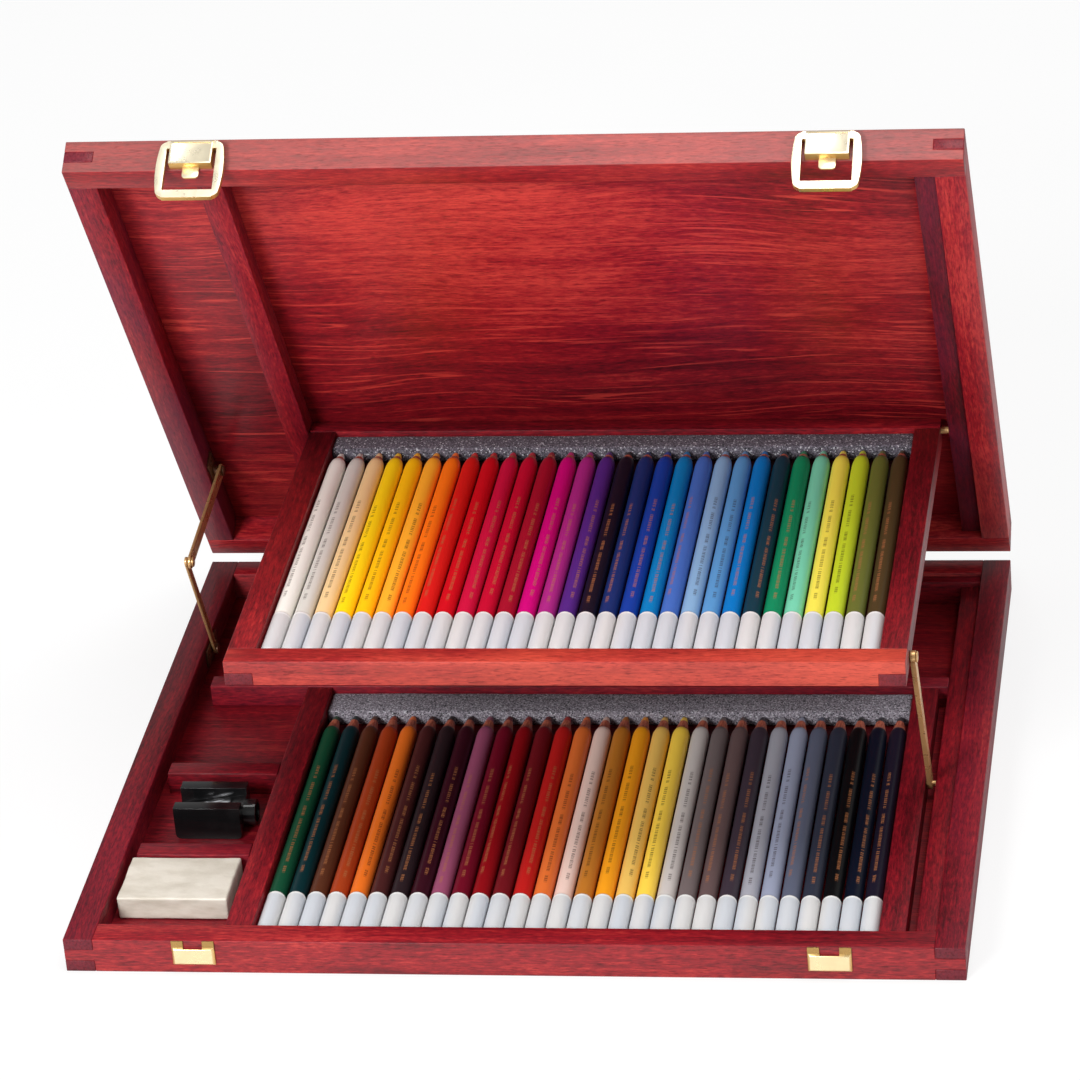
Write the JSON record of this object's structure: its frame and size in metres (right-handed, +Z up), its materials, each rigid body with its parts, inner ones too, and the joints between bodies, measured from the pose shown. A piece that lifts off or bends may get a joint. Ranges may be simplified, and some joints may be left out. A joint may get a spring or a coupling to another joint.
{
  "type": "pencil drawer box",
  "caption": "Hinged wooden pencil case, open, with a linked tray that rises level with the lid, accessory bays, brass clasps, a lid stay and rows of colour pencils.",
  "frame": {"origin": "centre of the case's underside", "axes": "+X to the right along the front, +Y from the clasps to the hinges, +Z up; the lid stands open as pictured"},
  "size_m": [0.36, 0.328, 0.2932],
  "materials": {
    "stained_wood": "red stain under satin varnish",
    "plywood": "red stain under satin varnish",
    "foam": "speckled grey foam",
    "brass": "pale satin brass",
    "bright_pencils": "lacquered in bright colours, white dipped ends",
    "earth_pencils": "lacquered in earth colours and greys, white dipped ends",
    "eraser": "wrapped in thin film",
    "black_plastic": "gloss",
    "steel": "bright"
  },
  "bodies": {
    "case": {"case_front_wall": "stained_wood", "case_back_wall": "stained_wood", "case_left_wall": "stained_wood", "case_right_wall": "stained_wood", "case_bottom": "plywood", "case_left_rail": "stained_wood", "case_right_rail": "stained_wood", "case_right_batten": "stained_wood", "case_rear_ledge": "stained_wood", "case_cross_bar": "stained_wood", "case_foam": "foam", "front_divider": "stained_wood", "rear_divider": "stained_wood", "clasp_left_catch": "brass", "clasp_right_catch": "brass", "hinge_left_case_leaf": "brass", "hinge_right_case_leaf": "brass", "hinge_left_pin": "brass", "hinge_right_pin": "brass", "hinge_case_screws": "brass", "stay_case_plate": "brass", "stay_case_screws": "brass", "tray_arm_pin": "brass"},
    "lid": {"lid_front_wall": "stained_wood", "lid_back_wall": "stained_wood", "lid_left_wall": "stained_wood", "lid_right_wall": "stained_wood", "lid_panel": "plywood", "lid_left_batten": "stained_wood", "lid_right_batten": "stained_wood", "clasp_left_hood": "brass", "clasp_right_hood": "brass", "hinge_left_lid_leaf": "brass", "hinge_right_lid_leaf": "brass", "hinge_lid_screws": "brass", "stay_lid_plate": "brass", "stay_lid_screws": "brass", "tray_pivot_pins": "brass"},
    "tray": {"tray_front_rail": "stained_wood", "tray_rear_rail": "stained_wood", "tray_left_rail": "stained_wood", "tray_right_rail": "stained_wood", "tray_panel": "plywood", "tray_foam": "foam", "tray_arm_rivet": "brass"},
    "tray_arm": {"tray_arm": "brass"},
    "stay_lower": {"stay_lower_bar": "brass"},
    "stay_upper": {"stay_upper_bar": "brass"},
    "clasp_left_loop": {"clasp_left_loop": "brass"},
    "clasp_right_loop": {"clasp_right_loop": "brass"},
    "eraser": {"eraser": "eraser"},
    "sharpener": {"sharpener_body": "black_plastic", "sharpener_blade": "steel", "sharpener_screw": "steel"},
    "case_pencils_1": {"case_pencils_1": "earth_pencils"},
    "tray_pencils_1": {"tray_pencils_1": "bright_pencils"},
    "case_pencils_2": {"case_pencils_2": "earth_pencils"},
    "tray_pencils_2": {"tray_pencils_2": "bright_pencils"},
    "case_pencils_3": {"case_pencils_3": "earth_pencils"},
    "tray_pencils_3": {"tray_pencils_3": "bright_pencils"}
  },
  "joints": [
    {"name": "lid_hinge", "type": "hinge", "parent": "case", "child": "lid", "pos_m": [0, 0.1595, 0.015], "axis": [-1, 0, 0], "range_deg": [-58, 32]},
    {"name": "tray_pivot", "type": "hinge", "parent": "lid", "child": "tray", "pos_m": [0, 0.11287, 0.10189], "axis": [-1, 0, 0], "range_deg": [-32, 58]},
    {"name": "tray_arm_pivot", "type": "hinge", "parent": "case", "child": "tray_arm", "pos_m": [0.1575, -0.0251, 0.0101], "axis": [-1, 0, 0], "range_deg": [-58, 32]},
    {"name": "stay_lower_pivot", "type": "hinge", "parent": "case", "child": "stay_lower", "pos_m": [-0.166, 0.0875, 0.009], "axis": [-1, 0, 0], "range_deg": [-58, 32]},
    {"name": "stay_upper_pivot", "type": "hinge", "parent": "lid", "child": "stay_upper", "pos_m": [-0.1645, 0.12855, 0.07585], "axis": [-1, 0, 0], "range_deg": [-32, 58]},
    {"name": "clasp_left_swing", "type": "hinge", "parent": "lid", "child": "clasp_left_loop", "pos_m": [-0.127, 0.0007, 0.29028], "axis": [-1, 0, 0], "range_deg": [0, 150]},
    {"name": "clasp_right_swing", "type": "hinge", "parent": "lid", "child": "clasp_right_loop", "pos_m": [0.127, 0.0007, 0.29028], "axis": [-1, 0, 0], "range_deg": [0, 150]},
    {"name": "case_pencils_1_lift", "type": "slide", "parent": "case", "child": "case_pencils_1", "axis": [0, 0, 1], "range_m": [0, 0.05]},
    {"name": "tray_pencils_1_lift", "type": "slide", "parent": "tray", "child": "tray_pencils_1", "axis": [0, 0, 1], "range_m": [0, 0.03]},
    {"name": "case_pencils_2_lift", "type": "slide", "parent": "case", "child": "case_pencils_2", "axis": [0, 0, 1], "range_m": [0, 0.05]},
    {"name": "tray_pencils_2_lift", "type": "slide", "parent": "tray", "child": "tray_pencils_2", "axis": [0, 0, 1], "range_m": [0, 0.03]},
    {"name": "case_pencils_3_lift", "type": "slide", "parent": "case", "child": "case_pencils_3", "axis": [0, 0, 1], "range_m": [0, 0.05]},
    {"name": "tray_pencils_3_lift", "type": "slide", "parent": "tray", "child": "tray_pencils_3", "axis": [0, 0, 1], "range_m": [0, 0.03]},
    {"name": "eraser_lift", "type": "slide", "parent": "case", "child": "eraser", "axis": [0, 0, 1], "range_m": [0, 0.05]},
    {"name": "sharpener_lift", "type": "slide", "parent": "case", "child": "sharpener", "axis": [0, 0, 1], "range_m": [0, 0.05]}
  ],
  "couplings": [
    {"joint": "tray_pivot", "follows": "lid_hinge", "ratio": -1},
    {"joint": "tray_arm_pivot", "follows": "lid_hinge", "ratio": 1},
    {"joint": "stay_lower_pivot", "follows": "lid_hinge", "ratio": 1},
    {"joint": "stay_upper_pivot", "follows": "lid_hinge", "ratio": -1}
  ]
}
